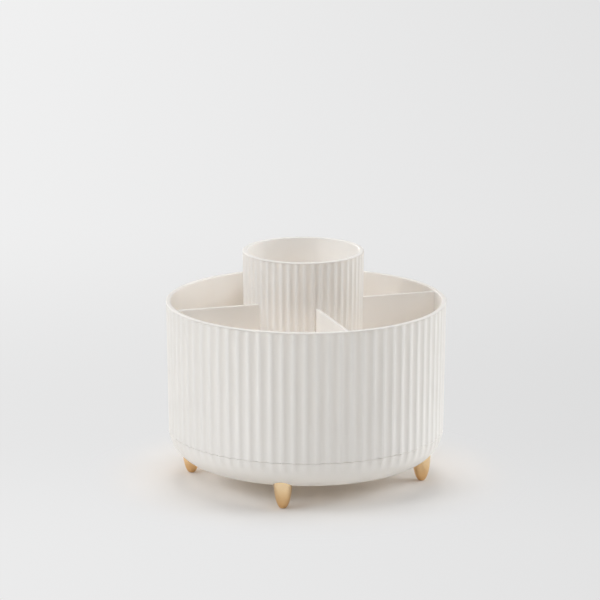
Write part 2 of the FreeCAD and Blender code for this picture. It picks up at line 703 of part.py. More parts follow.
def screw(diameter, shank_length):
    """A round-headed cross-recess screw, its head standing on z = 0 and its shank below."""
    head_radius = diameter / 2 * number("screw_head_share")
    head_height = diameter * number("screw_head_height_share")
    head = Part.makeCylinder(head_radius, head_height)
    shank = Part.makeCylinder(diameter / 2, shank_length, Vector(0, 0, -shank_length))
    length, width, depth = head_radius * RECESS_LENGTH, head_radius * RECESS_WIDTH, head_height * RECESS_DEPTH
    slot = Part.makeBox(length, width, depth, Vector(-length / 2, -width / 2, head_height - depth))
    cross = slot.fuse(slot.rotated(Vector(), Vector(0, 0, 1), 90))
    return head.fuse(shank).cut(cross).removeSplitter()


def group(name, shapes):
    """Several like solids in one node."""
    feature = document.addObject("Part::Feature", name)
    feature.Label = name
    feature.Shape = Part.makeCompound(shapes)
    feature.Placement = Placement()
    pieces.append(feature)


def around(shape, ring, height, angles, upside_down=False):
    """Copies of a shape on a ring about the turning axis, at angles given as formulas."""
    flip = Rotation(Vector(1, 0, 0), 180 if upside_down else 0)
    copies = []
    for angle in angles:
        turn = Rotation(Vector(0, 0, 1), number(angle))
        copy = shape.copy()
        copy.Placement = Placement(turn.multVec(Vector(ring, 0, height)), turn.multiply(flip))
        copies.append(copy)
    return copies


def make_fasteners():
    """Screws and balls, sized and placed from the same named values as their seats."""
    race_screw = screw(
        number("race_screw_diameter"),
        number("race_thickness - race_screw_head_height + race_screw_bite - thread_clearance"))
    ring = number("race_screw_circle")
    low = number("lower_race_top - race_screw_head_height - thread_clearance")
    high = number("upper_race_bottom + race_screw_head_height + thread_clearance")
    group("lower_race_screws", around(race_screw, ring, low, evenly("race_screw_count", "lower_race_angle")))
    group("upper_race_screws",
          around(race_screw, ring, high, evenly("race_screw_count", "0"), upside_down=True))
    foot_screw = screw(
        number("foot_screw_diameter"),
        number("foot_boss_top - foot_screw_hole_bottom - screw_tip_room"))
    group("foot_screws", around(foot_screw, number("foot_circle"), number("foot_boss_top"), FEET.values()))
    pivot_screw = screw(number("pivot_screw_diameter"), number("pivot_screw_length"))
    group("pivot_screw", around(pivot_screw, 0, number("washer_top"), ["0"]))
    ball = Part.makeSphere(number("ball_diameter / 2"))
    group("bearing_balls",
          around(ball, number("ball_circle"), number("ball_height"), evenly("ball_count", "0")))


# ---------------------------------------------------------------- build, check and write


def check_model():
    """Stop if any feature failed or any piece has a bad shape."""
    for feature in document.Objects:
        if {"Invalid", "Error"} & set(feature.State):
            raise RuntimeError(f"{feature.Label} failed: {feature.State}")
    for piece in pieces:
        if piece.Shape.isNull() or not piece.Shape.isValid() or not piece.Shape.Solids:
            raise RuntimeError(piece.Label + " has no valid solid")


def main():
    make_bowl()
    make_cup()
    for name in DIVIDERS:
        make_divider(name)
    make_bush()
    make_tray()
    for name in FEET:
        make_foot(name)
    make_race("lower_race", "lower_race_bottom", "upper")
    make_race("upper_race", "upper_race_bottom", "lower")
    make_cage()
    make_pin()
    make_washer()
    make_fasteners()
    document.recompute()
    check_model()
    os.makedirs("parts", exist_ok=True)
    for piece in pieces:
        piece.Shape.exportStep(f"parts/{piece.Label}.step")
        print(f"{piece.Label}: {len(piece.Shape.Solids)} solid(s), {piece.Shape.Volume / 1000:.2f} cm3")


main()
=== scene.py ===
"""Finish of a turning desk organizer: ivory fluted shells, thin dividers and gold feet.

Metres, +Z up. The turning axis is the Z axis and the tips of the feet stand on z = 0.
"""
import math

import bmesh
import bpy
import numpy as np
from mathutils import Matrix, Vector


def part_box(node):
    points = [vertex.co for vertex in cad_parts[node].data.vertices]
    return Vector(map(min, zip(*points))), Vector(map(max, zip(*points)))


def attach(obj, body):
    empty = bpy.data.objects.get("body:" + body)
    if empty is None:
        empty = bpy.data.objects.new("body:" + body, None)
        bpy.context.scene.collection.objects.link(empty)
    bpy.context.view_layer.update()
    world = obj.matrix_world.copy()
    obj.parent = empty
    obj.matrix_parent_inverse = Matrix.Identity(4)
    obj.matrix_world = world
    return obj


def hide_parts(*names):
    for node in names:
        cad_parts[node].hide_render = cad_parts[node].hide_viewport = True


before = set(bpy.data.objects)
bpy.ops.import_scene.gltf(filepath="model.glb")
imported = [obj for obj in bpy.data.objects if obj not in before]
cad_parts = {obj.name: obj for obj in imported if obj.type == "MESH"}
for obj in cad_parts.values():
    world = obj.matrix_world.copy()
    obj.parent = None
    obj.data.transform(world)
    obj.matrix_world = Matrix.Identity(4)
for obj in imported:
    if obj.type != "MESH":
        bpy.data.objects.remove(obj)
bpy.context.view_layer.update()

MM = 0.001

# ---------------------------------------------------------------- sizes taken from the frame

BOWL_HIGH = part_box("bowl_shell")[1]
TRAY_LOW, TRAY_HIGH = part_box("base_tray")
CUP_LOW, CUP_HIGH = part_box("center_cup")
RACE_LOW, RACE_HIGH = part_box("lower_race")
UPPER_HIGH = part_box("upper_race")[1]
BUSH_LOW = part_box("pivot_bush")[0]
PIN_LOW, PIN_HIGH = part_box("pivot_pin")

# ---------------------------------------------------------------- sizes of the mouldings

WALL = 2.6 * MM
FLOOR = 2.4 * MM
TAPER = 0.0157  # how far a wall leans out, against its height
RIM_ROUNDING = 0.5 * MM
RIM_LAND = 0.25 * MM  # plain band under a rim
FLUTE_END = 0.4 * MM  # height over which a flute runs out below that band
SEAM_ROUNDING = 0.12 * MM
EDGE_LAND = 1.3 * MM  # flat part of the two edges that face each other at the seam
BOSS_WALL = 3.0 * MM
HOLD = 0.12 * MM  # distance of a support point from its corner
HOLD_BEND = math.radians(25)  # the least bend that counts as a corner
HOLD_LENGTH = 4 * HOLD  # the least run that takes support points

BOWL_RADIUS = BOWL_HIGH.x
BOWL_FLUTES = 76
BOWL_FLUTE_DEPTH = 0.9 * MM
BOWL_CREST = 1.3 * MM
BOWL_FLUTE_TURN = -1.24  # degrees
BOWL_INSIDE_ROUNDING = 4.0 * MM
TRAY_TOP = TRAY_HIGH.z - 0.3 * MM
SKIRT_BOTTOM = TRAY_HIGH.z - 0.1 * MM
SKIRT_RADIUS = BOWL_RADIUS - TAPER * (BOWL_HIGH.z - SKIRT_BOTTOM)
BOWL_FLUTING = {"Flute_Count": BOWL_FLUTES, "Flute_Depth": BOWL_FLUTE_DEPTH, "Turn": BOWL_FLUTE_TURN,
                "Crest_Share": BOWL_CREST / (math.tau * SKIRT_RADIUS / BOWL_FLUTES)}
BOWL_FLOOR_BOTTOM = TRAY_HIGH.z + 0.1 * MM
BOWL_FLOOR_TOP = BOWL_FLOOR_BOTTOM + FLOOR
PLATE_RIB = 5.4 * MM
PLATE_WIDTH = 18.0 * MM
SPIGOT_WALL = 1.8 * MM
SPIGOT_DROP = 2.3 * MM
SPIGOT_GAP = 0.8 * MM

CUP_FLUTES = 48
CUP_FLUTE_DEPTH = 0.65 * MM
CUP_CREST = 0.95 * MM
CUP_FLUTE_TURN = 2.5  # degrees
CUP_FLOOR = 2.2 * MM
CUP_FLOOR_RISE = 6.2 * MM
CUP_INSIDE_ROUNDING = 2.0 * MM

TRAY_ROUNDING = 18.2 * MM
SEAM_FLUTES = 0.65  # share of their depth that the flutes have at the seam
SEAM_FLUTES_RISE = 26.0 * MM  # height above the seam at which they have all of it
TRAY_FLUTES_LOW = 18.0 * MM  # where they have run out below the seam
TRAY_BEND = (-32, -30)  # degrees on the side's arc between its sparse and its dense rows

PIN_RADIUS = 4.0 * MM
PIN_HEAD_HEIGHT = 2.0 * MM
PIN_HEAD_GAP = 0.08 * MM
PIN_GAP = 0.02 * MM
PIN_CHAMFER = 0.4 * MM
PIN_HOLE = 2.05 * MM
PIN_HOLE_DEPTH = 10 * MM
PIN_CENTRE_MARK = ((0.0, 0.5 * MM), (0.7 * MM, 0.1 * MM), (0.9 * MM, 0.0))  # radius and depth
BUSH_SEAT = 2.07 * MM  # the hub's bore outside the pin

FOOT_TIP = 1.5 * MM
FOOT_CURVE = 2.6  # how full a foot is between its tip and its top
FOOT_ROWS = 24
FOOT_CROWDING = 1.9  # how much closer its rows stand towards the tip
FOOT_TIP_FLAT = 0.5 * MM
FOOT_TIP_DRAW = (0.2, 0.12 * MM)  # how much the tip draws in, and over what height
FOOT_WEAR_AND_SHADE = 1.2 * MM

DIVIDER_EDGE = 0.45 * MM
DIVIDER_EDGE_STEPS = 4
DIVIDER_TOP = 0.1 * MM  # edges this close to the top are rounded
DIVIDER_WELD = 0.01 * MM
DIVIDER_FLAT = 0.01  # radians up to which faces count as one

TROUGH_STEPS = 12
CREST_STEPS = 4
RIM_STEPS = 5
SEAM_STEPS = 3
FADE_ROWS = 7
BOWL_INSIDE_STEPS = 8
CUP_INSIDE_STEPS = 6
TRAY_SIDE_STEPS = (10, 14)
TRAY_INSIDE_STEPS = 10
SHELL_WELD = 0.002 * MM
# Rubbing mask on the seam's edges: glossier, and painted lighter as a highlight
SEAM_WEAR_AND_HIGHLIGHT = 0.6
ARRIS_WEAR_AND_HIGHLIGHT = 0.14  # how far the rubbing mask, with its painted highlight, spreads from an arris, against half a trough
NO_FLUTING = {"Flute_Count": 12, "Trough_Steps": 4, "Flute_Depth": 0.0}


# ---------------------------------------------------------------- building blocks


def add_object(name, data):
    """A new object, linked to the scene."""
    made = bpy.data.objects.new(name, data)
    bpy.context.scene.collection.objects.link(made)
    return made


def middle(low, high):
    """The point on z = 0 in the middle of a box."""
    return (low.x + high.x) / 2, (low.y + high.y) / 2, 0.0


def eased(share):
    """A share from 0 to 1 that starts and ends gently."""
    return share * share * (3 - 2 * share)


class Nodes:
    """Short calls for filling a node tree."""

    def __init__(self, tree):
        """Keep the tree that the calls fill."""
        self.tree = tree

    def add(self, kind, values=(), **settings):
        """A node with its settings, and with the named or numbered inputs linked or filled."""
        node = self.tree.nodes.new(kind)
        for name, value in settings.items():
            setattr(node, name, value)
        for key, value in dict(values).items():
            self.put(node.inputs[key], value)
        return node

    def put(self, socket, value):
        """Link a socket, or fill it with a plain value."""
        if isinstance(value, bpy.types.NodeSocket):
            self.tree.links.new(value, socket)
        else:
            socket.default_value = value

    def math(self, operation, *values):
        """A math node's result."""
        return self.add("ShaderNodeMath", dict(enumerate(values)), operation=operation).outputs[0]

    def vector(self, operation, *values):
        """A vector math node's outputs."""
        return self.add("ShaderNodeVectorMath", dict(enumerate(values)), operation=operation).outputs

    def mix(self, factor, first, second):
        """A colour between two colours."""
        node = self.add("ShaderNodeMix", data_type="RGBA")
        for socket, value in zip((node.inputs[0], node.inputs[6], node.inputs[7]), (factor, first, second)):
            self.put(socket, value)
        return node.outputs[2]

    def ramp(self, value, low, high, bottom=0.0, top=1.0):
        """A value mapped smoothly from low..high to bottom..top."""
        node = self.add("ShaderNodeMapRange", interpolation_type="SMOOTHSTEP")
        for key, number in (("Value", value), ("From Min", low), ("From Max", high),
                            ("To Min", bottom), ("To Max", top)):
            self.put(node.inputs[key], number)
        return node.outputs["Result"]


def new_tree(name, kind, inputs, outputs):
    """A node tree with named inputs and outputs, and its group input and output nodes."""
    tree = bpy.data.node_groups.new(name, kind)
    for label, socket_type, default in inputs:
        socket = tree.interface.new_socket(name=label, in_out="INPUT", socket_type=socket_type)
        if default is not None:
            socket.default_value = default
    for label, socket_type in outputs:
        tree.interface.new_socket(name=label, in_out="OUTPUT", socket_type=socket_type)
    nodes = Nodes(tree)
    return nodes, nodes.add("NodeGroupInput").outputs, nodes.add("NodeGroupOutput").inputs


# ---------------------------------------------------------------- the fluted shell


def fluted_shell_tree():
    """Geometry Nodes: turns a profile about the upright axis and cuts flutes into it.

    Each point of the profile says what share of a flute's depth it takes, and how much rubbing it has; the
    finishes show that rubbing as painted light too.
    """
    nodes, given, made = new_tree("Fluted Shell", "GeometryNodeTree", [
        ("Profile", "NodeSocketGeometry", None),
        ("Flute Count", "NodeSocketInt", BOWL_FLUTES),
        ("Flute Depth", "NodeSocketFloat", BOWL_FLUTE_DEPTH),
        ("Crest Share", "NodeSocketFloat", 0.2),
        ("Crest Softness", "NodeSocketFloat", 0.08),
        ("Trough Steps", "NodeSocketInt", TROUGH_STEPS),
        ("Crest Steps", "NodeSocketInt", CREST_STEPS),
        ("Turn", "NodeSocketFloat", 0.0),
        ("Centre", "NodeSocketVector", None),
        ("Finish", "NodeSocketMaterial", None),
    ], [("Shell", "NodeSocketGeometry")])
    rows = nodes.add("GeometryNodeAttributeDomainSize", {0: given["Profile"]}).outputs["Point Count"]
    steps = nodes.math("ADD", given["Trough Steps"], given["Crest Steps"])
    columns = nodes.math("MULTIPLY", given["Flute Count"], steps)
    grid = nodes.add("GeometryNodeMeshGrid", {
        "Vertices X": nodes.math("ADD", columns, 1.0), "Vertices Y": rows})
    index = nodes.add("GeometryNodeInputIndex").outputs[0]
    column = nodes.math("FLOOR", nodes.math("DIVIDE", nodes.math("ADD", index, 0.5), rows))
    row = nodes.math("SUBTRACT", index, nodes.math("MULTIPLY", column, rows))

    def of_profile(field, kind):
        """A field of the profile at each row of the grid."""
        sampled = nodes.add("GeometryNodeSampleIndex", {
            "Geometry": given["Profile"], "Index": row}, data_type=kind)
        nodes.put(sampled.inputs["Value"], field)
        return sampled.outputs[0]

    def named(label):
        """A value stored on the profile's points."""
        return nodes.add("GeometryNodeInputNamedAttribute", {"Name": label},
                         data_type="FLOAT").outputs[0]

    place = of_profile(nodes.add("GeometryNodeInputPosition").outputs[0], "FLOAT_VECTOR")
    share = of_profile(named("flute_share"), "FLOAT")
    wear = of_profile(named("wear"), "FLOAT")
    turned = nodes.add("ShaderNodeSeparateXYZ", {0: place}).outputs

    # Each flute has a column on both its arrises. Across is 0 at the bottom of a trough, 1 at an arris.
    along = nodes.math("DIVIDE", column, steps)
    nearest = nodes.math("ROUND", along)
    side = nodes.math("SIGN", nodes.math("SUBTRACT", along, nearest))
    step = nodes.math("PINGPONG", column, nodes.math("DIVIDE", steps, 2.0))
    to_arris = nodes.math("DIVIDE", given["Trough Steps"], 2.0)
    on_crest = nodes.math("DIVIDE", nodes.math("MAXIMUM", nodes.math("SUBTRACT", step, to_arris), 0.0),
                          nodes.math("DIVIDE", given["Crest Steps"], 2.0))
    open_share = nodes.math("SUBTRACT", 1.0, given["Crest Share"])
    past_arris = nodes.math("MULTIPLY", on_crest, nodes.math("DIVIDE", given["Crest Share"], open_share))
    across = nodes.math("ADD", nodes.math("MINIMUM", nodes.math("DIVIDE", step, to_arris), 1.0), past_arris)
    trough = nodes.math("SUBTRACT", 1.0, nodes.math("MULTIPLY", across, across))
    bite = nodes.math("MULTIPLY", nodes.math("MULTIPLY", given["Flute Depth"], share),
                      nodes.math("SMOOTH_MAX", trough, 0.0, given["Crest Softness"]))
    radius = nodes.math("SUBTRACT", turned["X"], bite)
    off_centre = nodes.math("MULTIPLY", nodes.math("MULTIPLY", across, open_share),
                            nodes.math("MULTIPLY", side, 0.5))
    turns = nodes.math("DIVIDE", nodes.math("ADD", nearest, off_centre), given["Flute Count"])
    angle = nodes.math("ADD", nodes.math("RADIANS", given["Turn"]),
                       nodes.math("MULTIPLY", turns, math.tau))
    point = nodes.add("ShaderNodeCombineXYZ", {
        "X": nodes.math("MULTIPLY", radius, nodes.math("COSINE", angle)),
        "Y": nodes.math("MULTIPLY", radius, nodes.math("SINE", angle)),
        "Z": turned["Z"]})
    placed = nodes.vector("ADD", point.outputs[0], given["Centre"])[0]
    bent = nodes.add("GeometryNodeSetPosition", {"Geometry": grid.outputs[0], "Position": placed})

    # Rubbing mask along each arris; the ivory finish paints it as a lighter highlight as well as a glossier
    # edge.
    off_corner = nodes.math("DIVIDE", nodes.math("SUBTRACT", across, 1.0), ARRIS_WEAR_AND_HIGHLIGHT)
    off_square = nodes.math("MULTIPLY", off_corner, off_corner)
    corner = nodes.math("EXPONENT", nodes.math("MULTIPLY", off_square, -1.0))
    worn_and_painted = nodes.math("MAXIMUM", wear, nodes.math("MULTIPLY", share, corner))
    marked = nodes.add("GeometryNodeStoreNamedAttribute", {
        "Geometry": bent.outputs[0], "Name": "wear", "Value": worn_and_painted}, data_type="FLOAT", domain="POINT")

    closed = nodes.add("GeometryNodeMergeByDistance", {
        "Geometry": marked.outputs[0], "Distance": SHELL_WELD})
    plain = nodes.add("GeometryNodeRealizeInstances", {"Geometry": closed.outputs[0]})
    smooth = nodes.add("GeometryNodeSetShadeSmooth", {"Geometry": plain.outputs[0]})
    finished = nodes.add("GeometryNodeSetMaterial", {
        "Geometry": smooth.outputs[0], "Material": given["Finish"]})
    nodes.put(made["Shell"], finished.outputs[0])
    return nodes.tree


def run(points, share=0.0, wear=0.0):
    """Profile points that take one share of a flute and one amount of the rubbing mask, which the finishes
    also show as painted light.
    """
    return [(r, z, share, wear) for r, z in points]


def arc(centre_r, centre_z, radius, start, end, steps):
    """Points on an arc of the profile, from one angle to another in degrees."""
    turns = np.radians(np.linspace(start, end, steps + 1))
    return [(centre_r + radius * math.cos(t), centre_z + radius * math.sin(t)) for t in turns]


def held(points):
    """The profile, with a support point close to every corner on both its sides."""
    places = np.array([point[:2] for point in points])
    runs = np.diff(places, axis=0)
    headings = np.unwrap(np.arctan2(runs[:, 1], runs[:, 0]))
    sharp = np.concatenate([[True], np.abs(np.diff(headings)) > HOLD_BEND, [True]])
    out = []
    for index, (first, second) in enumerate(zip(points, points[1:])):
        out.append(first)
        length = math.hypot(*runs[index])
        if length > HOLD_LENGTH:
            if sharp[index]:
                out.append(tuple(a + (b - a) * HOLD / length for a, b in zip(first, second)))
            if sharp[index + 1]:
                out.append(tuple(b + (a - b) * HOLD / length for a, b in zip(first, second)))
    return out + [points[-1]]


def leaning_wall(radius, top):
    """Two functions that give the outside and the inside radius of a wall at a height."""

    def outer(z):
        """The outside wall's radius at a height."""
        return radius - TAPER * (top - z)

    def inner(z):
        """The inside wall's radius at a height."""
        return outer(z) - WALL

    return outer, inner


def rim(outer, inner, top):
    """A rounded rim from the outer face over to the inner one."""
    # The whole rim takes the rubbing mask, so the ivory paints a lighter highlight along it.
    return run(arc(outer - RIM_ROUNDING, top - RIM_ROUNDING, RIM_ROUNDING, 0, 90, RIM_STEPS)
               + arc(inner + RIM_ROUNDING, top - RIM_ROUNDING, RIM_ROUNDING, 90, 180, RIM_STEPS), wear=1.0)


def flute_tops(face, top):
    """Rows that bring the flutes out to the surface just under a rim."""
    rows = []
    for step in range(FADE_ROWS + 1):
        out = step / FADE_ROWS
        z = top - RIM_LAND - FLUTE_END * (1 - out)
        rows.append((face(z), z, 1 - eased(out), 0.0))
    return rows


def turn_profile(name, points, body, **sizes):
    """A mesh that is the profile turned by the fluted shell tree."""
    mesh = bpy.data.meshes.new(name)
    edges = [(index, index + 1) for index in range(len(points) - 1)]
    mesh.from_pydata([(point[0], 0.0, point[1]) for point in points], edges, [])
    for label, place in (("flute_share", 2), ("wear", 3)):
        layer = mesh.attributes.new(label, "FLOAT", "POINT")
        layer.data.foreach_set("value", [point[place] for point in points])
    piece = add_object(name, mesh)
    shaper = piece.modifiers.new("shaper", "NODES")
    shaper.node_group = SHELL_TREE
    inputs = (item for item in SHELL_TREE.interface.items_tree if item.in_out == "INPUT")
    identifiers = {item.name: item.identifier for item in inputs}
    for label, value in sizes.items():
        shaper[identifiers[label.replace("_", " ")]] = value
    bpy.context.view_layer.update()
    shaped = piece.evaluated_get(bpy.context.evaluated_depsgraph_get())
    piece.data = bpy.data.meshes.new_from_object(shaped)
    piece.data.name = name
    piece.modifiers.clear()
    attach(piece, body)
    return piece


def make_bowl(finish):
    """The fluted bowl, open at its hub, with its rings for the turntable plate and the tray."""
    top = BOWL_HIGH.z
    outer, inner = leaning_wall(BOWL_RADIUS, top)
    hub_bore = PIN_RADIUS + BUSH_SEAT
    hub = hub_bore + BOSS_WALL
    plate_in, plate_out = UPPER_HIGH.x - PLATE_WIDTH, UPPER_HIGH.x
    spigot = SKIRT_RADIUS - WALL - SPIGOT_GAP
    spigot_bottom = TRAY_HIGH.z - SPIGOT_DROP
    rounding = BOWL_INSIDE_ROUNDING
    rounding_top = BOWL_FLOOR_TOP + rounding
    lower_edge = run([(SKIRT_RADIUS - EDGE_LAND, SKIRT_BOTTOM)])
    lower_edge += run(arc(SKIRT_RADIUS - SEAM_ROUNDING, SKIRT_BOTTOM + SEAM_ROUNDING, SEAM_ROUNDING,
                          -90, 0, SEAM_STEPS), share=SEAM_FLUTES, wear=SEAM_WEAR_AND_HIGHLIGHT)
    for step in range(1, FADE_ROWS + 1):
        rise = step / FADE_ROWS
        z = SKIRT_BOTTOM + SEAM_FLUTES_RISE * rise
        lower_edge.append((outer(z), z, SEAM_FLUTES + (1 - SEAM_FLUTES) * eased(rise), 0.0))
    outside = lower_edge + flute_tops(outer, top) + rim(outer(top), inner(top), top)
    inside = run(arc(inner(rounding_top) - rounding, rounding_top, rounding, 0, -90, BOWL_INSIDE_STEPS))
    underside = run([
        (hub_bore, BOWL_FLOOR_TOP), (hub_bore, BUSH_LOW.z), (hub, BUSH_LOW.z), (hub, BOWL_FLOOR_BOTTOM),
        (plate_in, BOWL_FLOOR_BOTTOM), (plate_in, UPPER_HIGH.z), (plate_in + PLATE_RIB, UPPER_HIGH.z),
        (plate_in + PLATE_RIB, BOWL_FLOOR_BOTTOM), (plate_out - PLATE_RIB, BOWL_FLOOR_BOTTOM),
        (plate_out - PLATE_RIB, UPPER_HIGH.z), (plate_out, UPPER_HIGH.z), (plate_out, BOWL_FLOOR_BOTTOM),
        (spigot - SPIGOT_WALL, BOWL_FLOOR_BOTTOM), (spigot - SPIGOT_WALL, spigot_bottom),
        (spigot, spigot_bottom), (spigot, SKIRT_BOTTOM),
    ])
    points = held(outside + inside) + underside + lower_edge[:1]
    bowl = turn_profile("fluted_bowl", points, "bowl", Finish=finish, **BOWL_FLUTING)
    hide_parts("bowl_shell")


def make_cup(finish):
    """The fluted cup with its raised floor."""
    top, foot = CUP_HIGH.z, CUP_LOW.z
    radius = (CUP_HIGH.x - CUP_LOW.x) / 2
    floor_top = foot + CUP_FLOOR_RISE + CUP_FLOOR
    outer, inner = leaning_wall(radius, top)
    rounding = CUP_INSIDE_ROUNDING
    rounding_top = floor_top + rounding
    inside = arc(inner(rounding_top) - rounding, rounding_top, rounding, 0, -90, CUP_INSIDE_STEPS)
    under = floor_top - CUP_FLOOR
    points = held(run([(0.0, under), (inner(under), under), (inner(foot), foot)])
                  + [(outer(foot), foot, 1.0, 0.0)]
                  + flute_tops(outer, top) + rim(outer(top), inner(top), top)
                  + run(inside + [(0.0, floor_top)]))
    pitch = math.tau * outer(foot) / CUP_FLUTES
    cup = turn_profile("fluted_cup", points, "bowl", Flute_Count=CUP_FLUTES,
                       Flute_Depth=CUP_FLUTE_DEPTH, Crest_Share=CUP_CREST / pitch,
                       Turn=CUP_FLUTE_TURN, Centre=middle(CUP_LOW, CUP_HIGH), Finish=finish)
    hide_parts("center_cup")


def make_tray(finish):
    """The base tray: a curved side on which the bowl's flutes carry on and run out."""
    bottom, top = TRAY_LOW.z, TRAY_TOP
    outer, inner = SKIRT_RADIUS, SKIRT_RADIUS - WALL
    floor_top = bottom + FLOOR
    centre_z = bottom + TRAY_ROUNDING
    flat = outer - math.sqrt(TRAY_ROUNDING ** 2 - (centre_z - TRAY_HIGH.z) ** 2)
    across, rise = inner - flat, top - floor_top
    inside_rounding = (across ** 2 + rise ** 2) / (2 * rise)
    inside_end = -math.degrees(math.asin((floor_top + inside_rounding - top) / inside_rounding))
    outside_end = -math.degrees(math.asin((centre_z - top + SEAM_ROUNDING) / TRAY_ROUNDING))
    head = PIN_HIGH.x + PIN_HEAD_GAP
    pin = PIN_RADIUS + PIN_GAP
    plate_in, plate_out = RACE_HIGH.x - PLATE_WIDTH, RACE_HIGH.x

    def share(z):
        """The share of a flute's depth that the side has at a height."""
        rise = min(max((z - TRAY_FLUTES_LOW) / (top - TRAY_FLUTES_LOW), 0), 1)
        return SEAM_FLUTES * eased(rise)

    side = [(r, z, share(z), 0.0) for r, z in
            arc(flat, centre_z, TRAY_ROUNDING, -90, TRAY_BEND[0], TRAY_SIDE_STEPS[0])
            + arc(flat, centre_z, TRAY_ROUNDING, TRAY_BEND[1], outside_end, TRAY_SIDE_STEPS[1])]
    edge = run(arc(side[-1][0] - SEAM_ROUNDING, top - SEAM_ROUNDING, SEAM_ROUNDING, 0, 90, SEAM_STEPS),
               share(top), SEAM_WEAR_AND_HIGHLIGHT)
    points = held(
        run([(head, bottom)]) + side + edge[1:]
        + run([(outer - EDGE_LAND, top), (inner, top)])
        + run(arc(flat, floor_top + inside_rounding, inside_rounding, inside_end, -90,
                  TRAY_INSIDE_STEPS)[1:])
        + run([(plate_out, floor_top), (plate_out, RACE_LOW.z), (plate_in, RACE_LOW.z),
               (plate_in, floor_top), (head + BOSS_WALL, floor_top), (head + BOSS_WALL, RACE_HIGH.z),
               (pin, RACE_HIGH.z), (pin, bottom + PIN_HEAD_HEIGHT), (head, bottom + PIN_HEAD_HEIGHT),
               (head, bottom)])
    )
    tray = turn_profile("turntable_tray", points, "base", Finish=finish, **BOWL_FLUTING)
    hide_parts("base_tray")


def make_feet(finish):
    """Four bullet-shaped feet, turned by the same tree without flutes."""
    for name in ("foot_front", "foot_right", "foot_back", "foot_left"):
        low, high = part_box(name)
        radius = (high.x - low.x) / 2
        height = high.z
        draw, draw_height = FOOT_TIP_DRAW
        # The tip takes the rubbing mask: in the gold finish that is rubbing and painted shade at once.
        curve = run([(0.0, 0.0), (FOOT_TIP - FOOT_TIP_FLAT, 0.0)], wear=1.0)
        for step in range(1, FOOT_ROWS + 1):
            z = height * (step / FOOT_ROWS) ** FOOT_CROWDING
            bulge = 1 - (1 - z / height) ** FOOT_CURVE
            tip = FOOT_TIP * (1 - math.exp(-z / draw_height) * draw)
            curve.append((math.sqrt(tip ** 2 + (radius ** 2 - tip ** 2) * bulge), z, 0.0,
                          math.exp(-z / FOOT_WEAR_AND_SHADE)))
        foot = turn_profile("gold_" + name, curve + run([(0.0, height)]), "base",
                            Centre=middle(low, high), Finish=finish, **NO_FLUTING)
        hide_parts(name)


def make_pin(finish):
    """The pivot pin: its chamfered head shows under the tray."""
    low, high = PIN_LOW.z, PIN_HIGH.z
    head = PIN_HIGH.x
    hole_end = high - PIN_HOLE_DEPTH
    points = held(run([(radius, low + depth) for radius, depth in PIN_CENTRE_MARK])
                  + run([(head - PIN_CHAMFER, low)])
                  + run([(head, low + PIN_CHAMFER)], wear=1.0)
                  + run([(head, low + PIN_HEAD_HEIGHT), (PIN_RADIUS, low + PIN_HEAD_HEIGHT),
                         (PIN_RADIUS, high), (PIN_HOLE, high), (PIN_HOLE, hole_end), (0.0, hole_end)]))
    pin = turn_profile("turned_pin", points, "base", Finish=finish, **NO_FLUTING)
    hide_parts("pivot_pin")


def make_dividers(finish):
    """Four thin upright walls with rounded top edges."""
    for name in ("divider_right", "divider_back", "divider_left", "divider_front"):
        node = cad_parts[name]
        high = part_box(name)[1]
        mesh = node.data.copy()
        mesh.name = "thin_" + name
        mesh.materials.clear()
        mesh.materials.append(finish)
        plate = bmesh.new()
        plate.from_mesh(mesh)
        bmesh.ops.remove_doubles(plate, verts=plate.verts, dist=DIVIDER_WELD)
        bmesh.ops.dissolve_limit(plate, angle_limit=DIVIDER_FLAT, verts=plate.verts, edges=plate.edges)
        top = [edge for edge in plate.edges
               if all(vertex.co.z > high.z - DIVIDER_TOP for vertex in edge.verts)]
        bmesh.ops.bevel(plate, geom=top, offset=DIVIDER_EDGE, segments=DIVIDER_EDGE_STEPS,
                        profile=0.5, affect="EDGES")
        bmesh.ops.recalc_face_normals(plate, faces=plate.faces)
        plate.to_mesh(mesh)
        plate.free()
        piece = add_object("thin_" + name, mesh)
        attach(piece, "bowl")
        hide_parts(name)


# ---------------------------------------------------------------- finishes

BUMP_DISTANCE = 0.05 * MM
RUB_AND_HIGHLIGHT_SCALE = 90.0  # of the patches that break up the rubbing mask and its painted highlight
RUB_AND_HIGHLIGHT_RANGE = (0.25, 0.7)
STREAK_SCALE = 260.0
STREAK_STRETCH = (1.0, 1.0, 0.08)
SATIN_SWING = 2.0  # how much clouds and streaks change the gloss, against the colour
FINE_GRAIN = (2.7, 0.35)  # scale and height of the fine grain, against the coarse
MARK_RANGE = (0.42, 0.66)
MARK_TURN = (0.3, 0.5, 0.7)
MARK_STRETCH = (1.0, 0.12, 1.0)
MARK_STROKES = 14.0  # how much finer the strokes are than the patches
MARK_MIDDLE = 0.4
SCRATCH_WAYS = (((0.4, 0.9, 0.2), (1.0, 0.06, 1.0)), ((1.1, 0.2, 1.3), (0.07, 1.0, 1.0)))
SCRATCH_SCALE = 120.0  # of the patches that have scratches
SCRATCH_RANGE = (0.5, 0.62)
LINE_WANDER = 0.15 * MM
LINE_WANDER_SCALE = 60.0

IVORY_COLOUR = (0.943, 0.904, 0.856, 1.0)
# Painted highlight: a lighter ivory where the rubbing mask lies, on rims, seam edges and arrises
IVORY_RUBBED_HIGHLIGHT = (0.95, 0.915, 0.87, 1.0)
# Painted shade: a deeper, darker gold at the bottom of each foot
GOLD_PAINTED_SHADE = (0.84, 0.54, 0.26, 1.0)
GOLD_PALE = (0.93, 0.71, 0.445, 1.0)
